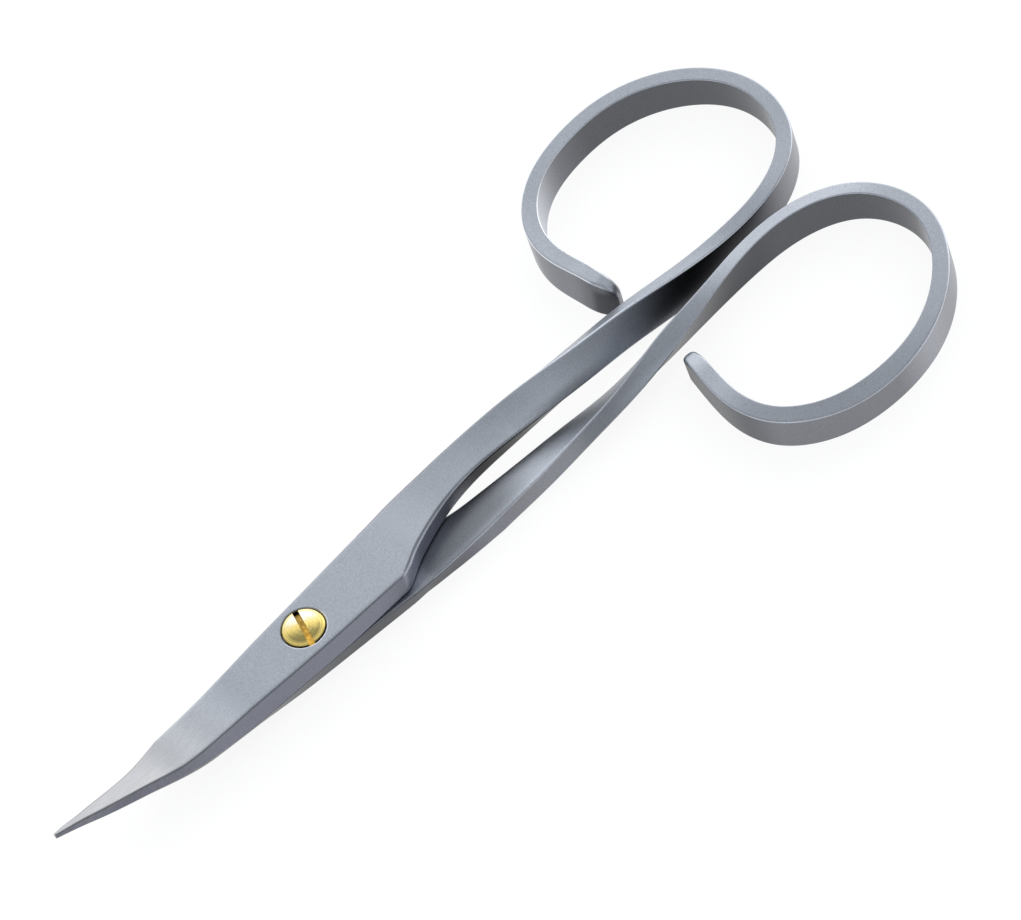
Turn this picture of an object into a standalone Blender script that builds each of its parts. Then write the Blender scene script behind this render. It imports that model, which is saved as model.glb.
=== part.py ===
"""Curved nail scissors: two forged halves that turn on one slotted pivot screw.

World frame, in metres: +X runs from the pivot to the finger bows, +Y to the upper half's bow, +Z up.
The origin lies on the pivot axis, level with the lower half's underside, on which the scissors rest.

Each half is one forging: a tapered blade with a raised tip, a flat joint, a neck cut back at a shoulder,
a shank that twists through a right angle, and a strip on edge that is bent round into an open finger bow.
Both halves are described alike, in a local frame where +Y points to that half's own bow: the upper half
is built as it is, the lower half is mirrored. The cutting edge lies on the same side as the bow.
"""

import math
from dataclasses import dataclass

import bmesh
import bpy
import numpy as np

# Driving dimensions: the blade and the joint.
HALF_THICKNESS = 0.00238
MATING_GAP = 0.00012
BLADE_WIDTH = 0.0067
BLADE_REACH = 0.0306
TIP_RISE = 0.0046
BEND_START = 0.0136
BEND_LENGTH = 0.0062
SHOULDER_X = 0.0099
EDGE_ROUND = 0.00014

# Driving dimensions: the shank and the finger bow.
HANDLE_REACH = 0.0695
SHANK_SPREAD = 0.0027
STRIP_HEIGHT = 0.00414
STRIP_THICKNESS = 0.00137
BOW_RADIUS = 0.0124
BOW_GAP = 0.0013
END_ROUND = 0.0007

# Driving dimensions: the pivot screw and its seats.
SCREW_RADIUS = 0.00125
HEAD_RADIUS = 0.00206
HEAD_HEIGHT = 0.00095
HEAD_DOME = 0.00014
SLOT_WIDTH = 0.00064
SLOT_DEPTH = 0.00048
HEAD_CLEARANCE = 0.0001
SEAT_CLEARANCE = 0.00004
PIVOT_CLEARANCE = 0.00005
THREAD_CLEARANCE = 0.00003
CUT_OVERRUN = 0.001
SLOT_DEGREES = 71.5

# Blade outline from the tip to the shoulder. Places are shares of the reach towards the tip, and of the
# shoulder's distance beyond the pivot. Sides are shares of the blade width, thicknesses of the half's.
TIP_ROW_SHARES = (1.0, 0.974, 0.915, 0.856, 0.794, 0.736, 0.677, 0.618, 0.56)
BELLY_ROW_SHARES = (0.56, 0.495, 0.433, 0.371)
JOINT_ROW_SHARES = (0.371, 0.278, 0.139, 0.0)
SHOULDER_ROW_SHARES = (0.48, 1.0)
SPINE_OUTER_SHARES = (0.017, 0.02, 0.034, 0.073, 0.112, 0.147, 0.182, 0.227, 0.28,
                      0.309, 0.341, 0.376, 0.404, 0.443, 0.47, 0.484, 0.494)
SPINE_MATING_SHARES = (0.028, 0.036, 0.065, 0.112, 0.154, 0.188, 0.217, 0.252, 0.297,
                       0.327, 0.365, 0.404, 0.438, 0.467, 0.495, 0.513, 0.525)
SPINE_THICKNESS_SHARES = (0.18, 0.205, 0.27, 0.335, 0.395, 0.455, 0.515, 0.573, 0.64,
                          0.76, 0.87, 0.976, 1.0, 1.0, 1.0, 1.0, 1.0)
EDGE_THICKNESS_SHARES = (0.12, 0.135, 0.166, 0.198, 0.237, 0.285, 0.356, 0.455, 0.553,
                         0.69, 0.83, 0.965, 1.0, 1.0, 1.0, 1.0, 1.0)

# Neck, from the shoulder on: places between the shoulder and the bow's centre, sides of the blade width.
NECK_PLACE_SHARES = (0.033, 0.059, 0.096, 0.124, 0.165)
NECK_OFFSET_SHARES = (0.073, 0.132, 0.198, 0.241, 0.292)
NECK_WIDTH_SHARES = (0.931, 0.853, 0.762, 0.701, 0.628)
NECK_THICKNESS_SHARES = (0.97, 0.96, 0.94, 0.925, 0.905)

# Shank, further on: offsets are shares of the shank spread, widths of the strip height.
SHANK_PLACE_SHARES = (0.235, 0.357, 0.48, 0.602, 0.724)
SHANK_WIDTH_SHARES = (0.915, 0.85, 0.823, 0.81, 0.875)
SHANK_ROOT_THICKNESS_SHARES = (0.87, 0.8)
BOW_START_WIDTH_SHARES = (0.965, 1.0)

# Twist of the section about the strip's own line, and how far its centre stays at the flat joint's level.
TWIST_DEGREES = (0.0, 0.0, 0.5, 1.2, 2.6, 5.0, 14.0, 30.0, 47.0, 61.5, 79.0, 90.0)
LEVEL_SHARES = (1.0, 0.995, 0.975, 0.96, 0.935, 0.88, 0.7, 0.455, 0.235, 0.075, 0.01, 0.0)
TURN_SHARES = (0.0, 0.0, 0.1, 0.2, 0.4, 0.7, 1.0)

SECTIONS_PER_ROW = 4
HANDLE_SECTIONS = 150
TIP_SECTIONS_SHARES = (0.0, 0.35, 0.75, 1.0)
ROUND_SEGMENTS = 64


@dataclass(frozen=True)
class HalfShape:
    """What differs between the two halves, hand-fitted to the pair. Side is +1 for the upper half."""

    name: str
    side: int
    edge_outer_shares: tuple
    edge_mating_shares: tuple
    neck_draft_shares: tuple
    shank_offset_shares: tuple
    shank_thickness_shares: tuple
    bow_degrees: tuple
    bow_radius_shares: tuple
    bow_thickness_shares: tuple
    end_drop_shares: tuple


UPPER = HalfShape(
    name="upper_half",
    side=1,
    edge_outer_shares=(0.022, 0.048, 0.078, 0.115, 0.148, 0.183, 0.236, 0.313, 0.36,
                       0.357, 0.341, 0.327, 0.343, 0.396, 0.438, 0.474, 0.516),
    edge_mating_shares=(0.034, 0.062, 0.1, 0.14, 0.174, 0.212, 0.262, 0.335, 0.382,
                        0.387, 0.391, 0.402, 0.433, 0.472, 0.505, 0.547, 0.561),
    neck_draft_shares=(0.02, 0.014, 0.008, 0.003, 0.0),
    shank_offset_shares=(0.89, 0.996, 1.0, 0.937, 0.854),
    shank_thickness_shares=(1.28, 1.13, 0.97),
    bow_degrees=(-118, -90, -60, -30, 0, 35, 70, 100, 130, 155, 175, 192, 203, 211),
    bow_radius_shares=(0.914, 0.823, 0.913, 1.043, 1.046, 0.953, 0.86, 0.859, 0.935, 0.988,
                       0.985, 0.998, 1.018, 1.02),
    bow_thickness_shares=(1.06, 1.16, 1.05, 1.0, 1.08, 1.06, 0.96, 0.97, 1.06, 1.25, 1.38, 1.4, 1.32, 1.2),
    end_drop_shares=(0.0, 0.06, 0.5),
)

LOWER = HalfShape(
    name="lower_half",
    side=-1,
    edge_outer_shares=(0.02, 0.045, 0.078, 0.108, 0.13, 0.14, 0.148, 0.16, 0.17,
                       0.176, 0.18, 0.182, 0.203, 0.288, 0.358, 0.41, 0.463),
    edge_mating_shares=(0.034, 0.06, 0.1, 0.148, 0.185, 0.218, 0.24, 0.265, 0.3,
                        0.327, 0.362, 0.4, 0.438, 0.474, 0.505, 0.54, 0.568),
    neck_draft_shares=(0.062, 0.048, 0.032, 0.02, 0.008),
    shank_offset_shares=(0.82, 0.944, 1.02, 1.055, 0.861),
    shank_thickness_shares=(1.28, 1.3, 1.4),
    bow_degrees=(-118, -90, -60, -30, 0, 35, 70, 100, 130, 155, 172, 188, 200, 210),
    bow_radius_shares=(0.915, 0.827, 0.885, 1.032, 1.055, 0.945, 0.861, 0.867, 0.973, 1.055,
                       1.039, 1.015, 1.033, 1.058),
    bow_thickness_shares=(1.08, 0.88, 0.98, 1.06, 1.18, 1.2, 1.16, 1.16, 1.2, 1.24, 1.25, 1.2, 1.14, 1.05),
    end_drop_shares=(0.1, 0.2, 0.42),
)


# Levels that follow from the driving dimensions.
MATING_Z = HALF_THICKNESS
TOP_Z = MATING_Z + HALF_THICKNESS
BOW_CENTRE_Z = STRIP_HEIGHT / 2
COUNTERBORE_DEPTH = HEAD_HEIGHT + SEAT_CLEARANCE


def spline(places, values, at):
    """Read a natural cubic spline through values (one row per place) at other places."""
    places = np.asarray(places, dtype=float)
    values = np.asarray(values, dtype=float)
    at = np.asarray(at, dtype=float)
    flat = values.reshape(len(places), -1)
    step = np.diff(places)
    slope = np.diff(flat, axis=0) / step[:, None]
    system = np.eye(len(places))
    bends = np.zeros_like(flat)
    for row in range(1, len(places) - 1):
        system[row, row - 1:row + 2] = step[row - 1], 2 * (step[row - 1] + step[row]), step[row]
        bends[row] = 6 * (slope[row] - slope[row - 1])
    curve = np.linalg.solve(system, bends)
    span = np.clip(np.searchsorted(places, at) - 1, 0, len(step) - 1)
    width = step[span][:, None]
    ahead = (at - places[span])[:, None]
    left = places[span + 1][:, None] - at[:, None]
    out = (curve[span] * left ** 3 + curve[span + 1] * ahead ** 3) / (6 * width)
    out += (flat[span] / width - curve[span] * width / 6) * left
    out += (flat[span + 1] / width - curve[span + 1] * width / 6) * ahead
    return out.reshape((len(at),) + values.shape[1:])


def tip_lift(radius):
    """Rise of the blades' mating face at a distance from the pivot axis.

    It depends on the distance alone, so the two curved blades slide on each other as they turn.
    """
    bend_end = BEND_START + BEND_LENGTH
    slope = TIP_RISE / (BLADE_REACH - bend_end + BEND_LENGTH / 2)
    in_bend = np.clip(radius - BEND_START, 0, BEND_LENGTH)
    return slope * (in_bend ** 2 / (2 * BEND_LENGTH) + np.maximum(radius - bend_end, 0))


def blade_rows():
    """Places along X of the blade's outline rows, from the tip to the shoulder, and the creased rows."""
    tip_side = TIP_ROW_SHARES + BELLY_ROW_SHARES[1:] + JOINT_ROW_SHARES[1:]
    rows = [-BLADE_REACH * share for share in tip_side]
    rows += [SHOULDER_X * share for share in SHOULDER_ROW_SHARES]
    kink = len(TIP_ROW_SHARES) - 1
    taper = kink + len(BELLY_ROW_SHARES) - 1
    return rows, (0, kink, taper, len(rows) - 1)


def blade_sections(shape):
    """Four corners of each section from the tip to the shoulder, in the half's local frame.

    The corners run outer edge side, outer spine side, mating spine side, mating edge side.
    """
    rows, creases = blade_rows()
    full = HALF_THICKNESS - MATING_GAP / 2
    outline = np.column_stack([
        BLADE_WIDTH * np.array(shape.edge_outer_shares),
        -BLADE_WIDTH * np.array(SPINE_OUTER_SHARES),
        -BLADE_WIDTH * np.array(SPINE_MATING_SHARES),
        BLADE_WIDTH * np.array(shape.edge_mating_shares),
        full * np.array(EDGE_THICKNESS_SHARES),
        full * np.array(SPINE_THICKNESS_SHARES),
    ])
    sections = []
    for first, last in zip(creases, creases[1:]):
        count = SECTIONS_PER_ROW * (last - first)
        places = np.linspace(rows[first], rows[last], count + 1)
        group = spline(rows[first:last + 1], outline[first:last + 1], places)
        group[:, 4:] = np.minimum(group[:, 4:], full)
        start = 1 if sections else 0
        for x, row in zip(places[start:], group[start:]):
            sections.append(blade_corners(shape, x, row))
    return sections


def blade_corners(shape, x, row):
    """Corner points of one blade section, raised by the bend of the tip."""
    outer_edge, outer_spine, mating_spine, mating_edge, edge_thick, spine_thick = row
    sides = (outer_edge, outer_spine, mating_spine, mating_edge)
    outward = (edge_thick, spine_thick, 0, 0)
    corners = []
    for y, thick in zip(sides, outward):
        lift = tip_lift(math.hypot(x, y))
        z = MATING_Z + lift + shape.side * (MATING_GAP / 2 + thick)
        corners.append((x, y, z))
    return np.array(corners)


def handle_path(shape):
    """Knots of the handle's middle line in plan, and the length along it at each knot."""
    centre_x = HANDLE_REACH - STRIP_THICKNESS / 2 - BOW_RADIUS * max(shape.bow_radius_shares[3:5])
    low_share = shape.bow_radius_shares[1]
    centre_y = BOW_RADIUS * low_share + STRIP_THICKNESS / 2 + BOW_GAP / 2
    run = centre_x - SHOULDER_X
    knots = []
    for place, offset in zip(NECK_PLACE_SHARES, NECK_OFFSET_SHARES):
        knots.append((SHOULDER_X + run * place, BLADE_WIDTH * offset))
    for place, offset in zip(SHANK_PLACE_SHARES, shape.shank_offset_shares):
        knots.append((SHOULDER_X + run * place, SHANK_SPREAD * offset))
    for degrees, share in zip(shape.bow_degrees, shape.bow_radius_shares):
        angle = math.radians(degrees)
        radius = BOW_RADIUS * share
        knots.append((centre_x + radius * math.cos(angle), centre_y + radius * math.sin(angle)))
    knots = np.array(knots)
    lengths = np.concatenate([[0], np.cumsum(np.linalg.norm(np.diff(knots, axis=0), axis=1))])
    return knots, lengths


def handle_values(shape, count):
    """Width, thickness, twist, level, turn, end drop and draft of the section at each of count knots."""
    widths = [BLADE_WIDTH * share for share in NECK_WIDTH_SHARES]
    widths += [STRIP_HEIGHT * share for share in SHANK_WIDTH_SHARES + BOW_START_WIDTH_SHARES]
    widths += [STRIP_HEIGHT] * (count - len(widths))
    thicks = [HALF_THICKNESS * share for share in NECK_THICKNESS_SHARES + SHANK_ROOT_THICKNESS_SHARES]
    thicks += [STRIP_THICKNESS * share for share in shape.shank_thickness_shares + shape.bow_thickness_shares]
    twists = [math.radians(angle) for angle in TWIST_DEGREES]
    twists += [math.pi / 2] * (count - len(twists))
    levels = list(LEVEL_SHARES) + [0] * (count - len(LEVEL_SHARES))
    turns = list(TURN_SHARES) + [1] * (count - len(TURN_SHARES))
    drops = [0] * (count - len(shape.end_drop_shares))
    drops += [STRIP_HEIGHT * share for share in shape.end_drop_shares]
    drafts = [BLADE_WIDTH * share for share in shape.neck_draft_shares]
    drafts += [0] * (count - len(drafts))
    return np.column_stack([widths, thicks, twists, levels, turns, drops, drafts])


def handle_sections(shape):
    """Four corners of each section from the neck to the bow's free end, in the half's local frame.

    The corners keep the blade's order: on the upper half the outer face is the top one, on the lower half
    the bottom one. The bow side of the strip turns up on both halves, so the strip ends on edge.
    """
    knots, lengths = handle_path(shape)
    values = handle_values(shape, len(knots))
    near_end = lengths[-1] - END_ROUND
    even = np.linspace(0, near_end, HANDLE_SECTIONS)
    end = near_end + END_ROUND * np.array(TIP_SECTIONS_SHARES[1:])
    places = np.concatenate([even, end])
    middle = spline(lengths, knots, places)
    ahead = np.gradient(middle, places, axis=0)
    read = [np.interp(places, lengths, values[:, column]) for column in (4, 5, 6)]
    smooth = spline(lengths, values[:, :4], places)
    flat_z = MATING_Z + shape.side * (HALF_THICKNESS + MATING_GAP / 2) / 2
    sections = []
    for place, (x, y), (dx, dy), turn, drop, draft, (width, thick, twist, level) in zip(
            places, middle, ahead, *read, smooth):
        yaw = math.atan2(dy, dx) * turn
        shrink = end_shrink(place - near_end)
        centre = np.array((x, y, BOW_CENTRE_Z + level * (flat_z - BOW_CENTRE_Z)))
        size = (width * shrink, thick * shrink)
        sections.append(strip_corners(shape, centre, yaw, twist, size, drop, draft))
    return sections


def end_shrink(past):
    """How much a section shrinks in the rounded last stretch of the strip."""
    if past <= 0:
        return 1
    inset = min(past / END_ROUND, 1)
    return 1 - END_ROUND / STRIP_HEIGHT * 2 * (1 - math.sqrt(max(1 - inset ** 2, 0)))


def strip_corners(shape, centre, yaw, twist, size, drop, draft):
    """Corners of a rectangle across the strip: its bow side is turned up by the twist.

    The drop lowers the strip's upper edge, and the draft draws in its outer corner on the bow side.
    No corner lies lower than the plane on which the scissors rest.
    """
    width, thick = size
    left = np.array((-math.sin(yaw), math.cos(yaw), 0))
    up = np.array((0, 0, 1))
    broad = left * math.cos(twist) + up * math.sin(twist)
    thin = up * math.cos(twist) - left * math.sin(twist)
    outer = thin * shape.side
    lowered = up * drop * math.sin(twist)
    corners = np.array([
        centre + broad * (width / 2 - draft) + outer * thick / 2 - lowered,
        centre - broad * width / 2 + outer * thick / 2,
        centre - broad * width / 2 - outer * thick / 2,
        centre + broad * width / 2 - outer * thick / 2 - lowered,
    ])
    corners[:, 2] = np.maximum(corners[:, 2], 0)
    return corners


def rounded_ring(corners):
    """Round the four corners of a section, each with three points, no wider than the section allows."""
    ring = []
    sides = [np.linalg.norm(corners[i] - corners[i - 1]) for i in range(4)]
    cut = min(EDGE_ROUND, min(sides) / 3)
    for index, corner in enumerate(corners):
        before = corners[index - 1] - corner
        after = corners[(index + 1) % 4] - corner
        start = corner + before / np.linalg.norm(before) * cut
        end = corner + after / np.linalg.norm(after) * cut
        middle = (start + end) / 2 * math.sqrt(0.5) + corner * (1 - math.sqrt(0.5))
        ring += [start, middle, end]
    return ring


def material(name, colour, roughness):
    """Metal with a plain colour."""
    made = bpy.data.materials.new(name)
    made.use_nodes = True
    shader = made.node_tree.nodes["Principled BSDF"]
    shader.inputs["Base Color"].default_value = (*colour, 1)
    shader.inputs["Metallic"].default_value = 1
    shader.inputs["Roughness"].default_value = roughness
    return made


def add_object(name, mesh, surface=None):
    """Put a mesh into the scene as an object whose origin lies on the pivot axis."""
    made = bpy.data.objects.new(name, mesh)
    bpy.context.scene.collection.objects.link(made)
    if surface:
        mesh.materials.append(surface)
    return made


def loft(name, rings):
    """Skin a row of rings, each with as many points, and close both ends."""
    mesh = bpy.data.meshes.new(name)
    body = bmesh.new()
    loops = []
    for ring in rings:
        loops.append([body.verts.new(point) for point in ring])
    for near, far in zip(loops, loops[1:]):
        for index in range(len(near)):
            after = (index + 1) % len(near)
            body.faces.new((near[index], near[after], far[after], far[index]))
    body.faces.new(loops[0])
    body.faces.new(reversed(loops[-1]))
    bmesh.ops.recalc_face_normals(body, faces=body.faces)
    body.to_mesh(mesh)
    body.free()
    mesh.shade_smooth()
    mesh.set_sharp_from_angle(angle=math.radians(30))
    return mesh


def turned(name, profile):
    """Spin a profile of (radius, height) points, from the axis out and back, about the pivot axis."""
    mesh = bpy.data.meshes.new(name)
    body = bmesh.new()
    points = [body.verts.new((radius, 0, height)) for radius, height in profile]
    edges = [body.edges.new(pair) for pair in zip(points, points[1:])]
    bmesh.ops.spin(body, geom=points + edges, cent=(0, 0, 0), axis=(0, 0, 1), angle=math.tau,
                   steps=ROUND_SEGMENTS, use_merge=True)
    bmesh.ops.remove_doubles(body, verts=body.verts, dist=EDGE_ROUND / ROUND_SEGMENTS)
    bmesh.ops.recalc_face_normals(body, faces=body.faces)
    body.to_mesh(mesh)
    body.free()
    mesh.shade_smooth()
    mesh.set_sharp_from_angle(angle=math.radians(30))
    return mesh


def cutter(name, mesh):
    """A shape that is only cut away from others."""
    made = add_object(name, mesh)
    made.hide_render = True
    made.display_type = "WIRE"
    return made


def cut(target, tool):
    """Cut one object out of another with an exact Boolean."""
    step = target.modifiers.new("cut_" + tool.name, "BOOLEAN")
    step.operation = "DIFFERENCE"
    step.solver = "EXACT"
    step.object = tool


def half_mesh(shape):
    """Mesh of one half: blade, joint, neck, shank and bow in one skin."""
    rings = []
    for corners in blade_sections(shape) + handle_sections(shape):
        corners[:, 1] *= shape.side
        rings.append(rounded_ring(corners))
    return loft(shape.name, rings)


def build_upper_half(steel):
    """Upper half, with the counterbore for the screw's head and the hole that turns on its shoulder."""
    half = add_object(UPPER.name, half_mesh(UPPER), steel)
    floor = TOP_Z - COUNTERBORE_DEPTH
    bore_radius = HEAD_RADIUS + HEAD_CLEARANCE
    hole_radius = SCREW_RADIUS + PIVOT_CLEARANCE
    profile = [
        (0, TOP_Z + CUT_OVERRUN),
        (bore_radius, TOP_Z + CUT_OVERRUN),
        (bore_radius, floor),
        (hole_radius, floor),
        (hole_radius, -CUT_OVERRUN),
        (0, -CUT_OVERRUN),
    ]
    cut(half, cutter("screw_seat_cutter", turned("screw_seat_cutter", profile)))
    return half


def build_lower_half(steel):
    """Lower half, with the hole that holds the screw's threaded end."""
    half = add_object(LOWER.name, half_mesh(LOWER), steel)
    hole_radius = SCREW_RADIUS + THREAD_CLEARANCE
    profile = [
        (0, TOP_Z + CUT_OVERRUN),
        (hole_radius, TOP_Z + CUT_OVERRUN),
        (hole_radius, -CUT_OVERRUN),
        (0, -CUT_OVERRUN),
    ]
    cut(half, cutter("thread_cutter", turned("thread_cutter", profile)))
    return half


def build_pivot_screw(brass):
    """Brass screw: a slotted, slightly domed head, and a shank whose end is flush with the underside."""
    under_head = TOP_Z - HEAD_HEIGHT
    rim_z = TOP_Z - HEAD_DOME
    dome = [(HEAD_RADIUS * share, rim_z + HEAD_DOME * (1 - share ** 2)) for share in (0, 0.35, 0.65, 0.9)]
    profile = dome + [
        (HEAD_RADIUS, rim_z - HEAD_DOME / 2),
        (HEAD_RADIUS, under_head),
        (SCREW_RADIUS, under_head),
        (SCREW_RADIUS, 0),
        (0, 0),
    ]
    screw = add_object("pivot_screw", turned("pivot_screw", profile), brass)
    cut(screw, slot_cutter())
    return screw


def slot_cutter():
    """Straight bar that cuts the driver slot across the screw's head."""
    angle = math.radians(SLOT_DEGREES)
    along = np.array((math.cos(angle), math.sin(angle), 0)) * (HEAD_RADIUS + CUT_OVERRUN)
    across = np.array((-math.sin(angle), math.cos(angle), 0)) * SLOT_WIDTH / 2
    ends = []
    for end in (-along, along):
        ring = []
        for side, height in ((-1, TOP_Z - SLOT_DEPTH), (1, TOP_Z - SLOT_DEPTH),
                             (1, TOP_Z + CUT_OVERRUN), (-1, TOP_Z + CUT_OVERRUN)):
            ring.append(end + across * side + np.array((0, 0, height)))
        ends.append(ring)
    return cutter("slot_cutter", loft("slot_cutter", ends))


def main():
    for old in list(bpy.data.objects):
        bpy.data.objects.remove(old, do_unlink=True)
    steel = material("satin_steel", (0.44, 0.46, 0.49), 0.38)
    brass = material("turned_brass", (0.83, 0.68, 0.32), 0.25)
    build_upper_half(steel)
    build_lower_half(steel)
    build_pivot_screw(brass)


main()
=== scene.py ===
"""Looks of the curved nail scissors: fine forged halves in tumbled steel, and the turned brass pivot screw.

Every length is in metres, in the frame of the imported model: +X runs from the pivot to the finger bows, +Y to
the upper half's bow and +Z up. Each class below stands for one thing on the bench: a half, the screw, a
finish, the camera and the studio.
"""

import logging
import math
from dataclasses import dataclass, field
from enum import Enum

import bmesh
import bpy
import numpy as np
from mathutils import Matrix, Vector


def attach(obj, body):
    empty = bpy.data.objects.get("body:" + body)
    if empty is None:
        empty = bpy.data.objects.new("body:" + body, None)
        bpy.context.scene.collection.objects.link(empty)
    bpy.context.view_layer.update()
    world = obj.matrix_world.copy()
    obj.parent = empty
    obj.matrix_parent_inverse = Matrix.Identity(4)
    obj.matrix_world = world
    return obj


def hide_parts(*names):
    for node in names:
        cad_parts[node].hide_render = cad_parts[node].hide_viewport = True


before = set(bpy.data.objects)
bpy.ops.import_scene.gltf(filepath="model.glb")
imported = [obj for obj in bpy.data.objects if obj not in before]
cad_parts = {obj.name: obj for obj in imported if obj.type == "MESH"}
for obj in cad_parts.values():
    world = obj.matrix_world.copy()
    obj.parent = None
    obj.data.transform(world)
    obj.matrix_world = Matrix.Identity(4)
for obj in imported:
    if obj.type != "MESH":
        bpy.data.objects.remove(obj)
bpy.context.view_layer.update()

log = logging.getLogger("nail_scissors")

MM = 0.001
PHOTO_WIDTH = 1021
SENSOR_WIDTH = 36.0
# The worn mark grades points on rounded edges: real polish in the roughness, painted highlight or shade in the
# steel's colour.
WORN, ON_TOP = "worn", "on_top"

Colour = tuple[float, float, float]
Limits = tuple[float, float]


class Side(Enum):
    """Which half is meant, and the sign of the world Y axis on which its bow lies."""

    UPPER = 1
    LOWER = -1


class Canvas:
    """A material's or world's node tree, with one method for every kind of node."""

    def __init__(self, tree: bpy.types.NodeTree) -> None:
        """Start on an empty tree.

        Args:
            tree: The node tree, whose nodes are cleared.
        """
        self.tree = tree
        self.tree.nodes.clear()

    def node(self, kind: str, settings: dict | None = None, sockets: dict | None = None) -> bpy.types.Node:
        """Add one node.

        Args:
            kind: The node's type, such as ShaderNodeTexNoise.
            settings: Attributes that are set first.
            sockets: Input name or number to a value, a socket or a Value.

        Returns:
            The new node.
        """
        made = self.tree.nodes.new(kind)
        for key, setting in (settings or {}).items():
            setattr(made, key, setting)
        for key, given in (sockets or {}).items():
            self.feed(made.inputs[key], given)
        return made

    def feed(self, target: bpy.types.NodeSocket, given: object) -> None:
        """Link a socket or set its value.

        Args:
            target: The input to feed.
            given: A Value, an output socket, a number, a colour or a vector.
        """
        if isinstance(given, Value):
            given = given.socket
        if isinstance(given, bpy.types.NodeSocket):
            self.tree.links.new(given, target)
        else:
            target.default_value = given

    def maths(self, operation: str, *terms: object) -> "Value":
        """Add a Math node and wrap its result.

        Args:
            operation: The node's operation.
            terms: Its inputs in order.

        Returns:
            The wrapped result.
        """
        made = self.node("ShaderNodeMath", {"operation": operation}, dict(enumerate(terms)))
        return Value(self, made.outputs[0])

    def smooth_step(self, given: object, low: float, high: float) -> "Value":
        """Ease from 0 at low to 1 at high.

        Args:
            given: The value that is read.
            low: Where the result is 0.
            high: Where the result is 1.

        Returns:
            The eased value.
        """
        settings = {"interpolation_type": "SMOOTHSTEP"}
        made = self.node("ShaderNodeMapRange", settings, {"Value": given, "From Min": low, "From Max": high})
        return Value(self, made.outputs["Result"])

    def mix_colour(self, factor: object, first: object, second: object) -> bpy.types.NodeSocket:
        """Mix two colours.

        Args:
            factor: 0 gives the first colour, 1 the second.
            first: A colour or a socket.
            second: A colour or a socket.

        Returns:
            The mixed colour.
        """
        settings = {"data_type": "RGBA", "clamp_factor": True}
        made = self.node("ShaderNodeMix", settings, {"Factor": factor})
        self.feed(made.inputs[6], first)
        self.feed(made.inputs[7], second)
        return made.outputs[2]

    def vectors(self, operation: str, *terms: object, scale: object | None = None) -> dict:
        """Add a Vector Math node.

        Args:
            operation: The node's operation.
            terms: Its vectors in order.
            scale: The factor, which only SCALE has.

        Returns:
            The node's outputs.
        """
        sockets = dict(enumerate(terms)) | ({} if scale is None else {"Scale": scale})
        return self.node("ShaderNodeVectorMath", {"operation": operation}, sockets).outputs

    def axis_distance(self, where: dict) -> "Value":
        """Read how far a place is from the pivot's axis.

        Args:
            where: The place's X, Y and Z.

        Returns:
            The distance.
        """
        plan = self.node("ShaderNodeCombineXYZ", None, {0: where["X"], 1: where["Y"]})
        return Value(self, self.vectors("LENGTH", plan.outputs[0])["Value"])

    def noise(self, place: object, size: float, detail: float) -> "Value":
        """Add a cloudy noise.

        Args:
            place: Where it is read.
            size: How large its lumps are.
            detail: How finely they break up.

        Returns:
            The noise, about 0.5 on average.
        """
        made = self.node("ShaderNodeTexNoise", None, {"Vector": place, "Scale": 1 / size, "Detail": detail})
        return Value(self, made.outputs[0])

    def metal(self, colour: object, roughness: object, height: object, bump: tuple[float, float]) -> None:
        """Finish a material as bare metal.

        Args:
            colour: Its base colour.
            roughness: Its roughness.
            height: Its fine relief, from 0 to 1.
            bump: The relief's strength and its depth.
        """
        strength, depth = bump
        sockets = {"Strength": strength, "Distance": depth, "Height": height}
        relief = self.node("ShaderNodeBump", None, sockets)
        sockets = {"Base Color": colour, "Metallic": 1.0, "Roughness": roughness}
        shader = self.node("ShaderNodeBsdfPrincipled", None, sockets | {"Normal": relief.outputs[0]})
        self.node("ShaderNodeOutputMaterial", None, {"Surface": shader.outputs[0]})


@dataclass(frozen=True)
class Value:
    """One number in a node tree. Python's operators add Math nodes to it."""

    canvas: Canvas
    socket: bpy.types.NodeSocket

    def __add__(self, other: object) -> "Value":
        """Sum."""
        return self.canvas.maths("ADD", self, other)

    __radd__ = __add__

    def __sub__(self, other: object) -> "Value":
        """Difference."""
        return self.canvas.maths("SUBTRACT", self, other)

    def __rsub__(self, other: object) -> "Value":
        """Difference from a plain number."""
        return self.canvas.maths("SUBTRACT", other, self)

    def __mul__(self, other: object) -> "Value":
        """Product."""
        return self.canvas.maths("MULTIPLY", self, other)

    __rmul__ = __mul__

    def __truediv__(self, other: object) -> "Value":
        """Quotient."""
        return self.canvas.maths("DIVIDE", self, other)


def new_material(name: str) -> tuple[bpy.types.Material, Canvas]:
    """Start a material.

    Args:
        name: Its name.

    Returns:
        The material and its empty canvas.
    """
    made = bpy.data.materials.new(name)
    made.use_nodes = True
    return made, Canvas(made.node_tree)


def add_object(name: str, shape: bmesh.types.BMesh) -> bpy.types.Object:
    """Put a finished shape into the scene.

    Args:
        name: Name of the object and of its mesh.
        shape: The shape, which is used up.

    Returns:
        The object.
    """
    mesh = bpy.data.meshes.new(name)
    shape.to_mesh(mesh)
    shape.free()
    made = bpy.data.objects.new(name, mesh)
    bpy.context.scene.collection.objects.link(made)
    return made


def coat(made: bpy.types.Object, material: bpy.types.Material, crease_degrees: float) -> None:
    """Smooth a piece and give it its material.

    Args:
        made: The piece.
        material: Its only material.
        crease_degrees: The angle above which an edge stays sharp.
    """
    made.data.shade_smooth()
    made.data.set_sharp_from_angle(angle=math.radians(crease_degrees))
    made.data.materials.clear()
    made.data.materials.append(material)


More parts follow.
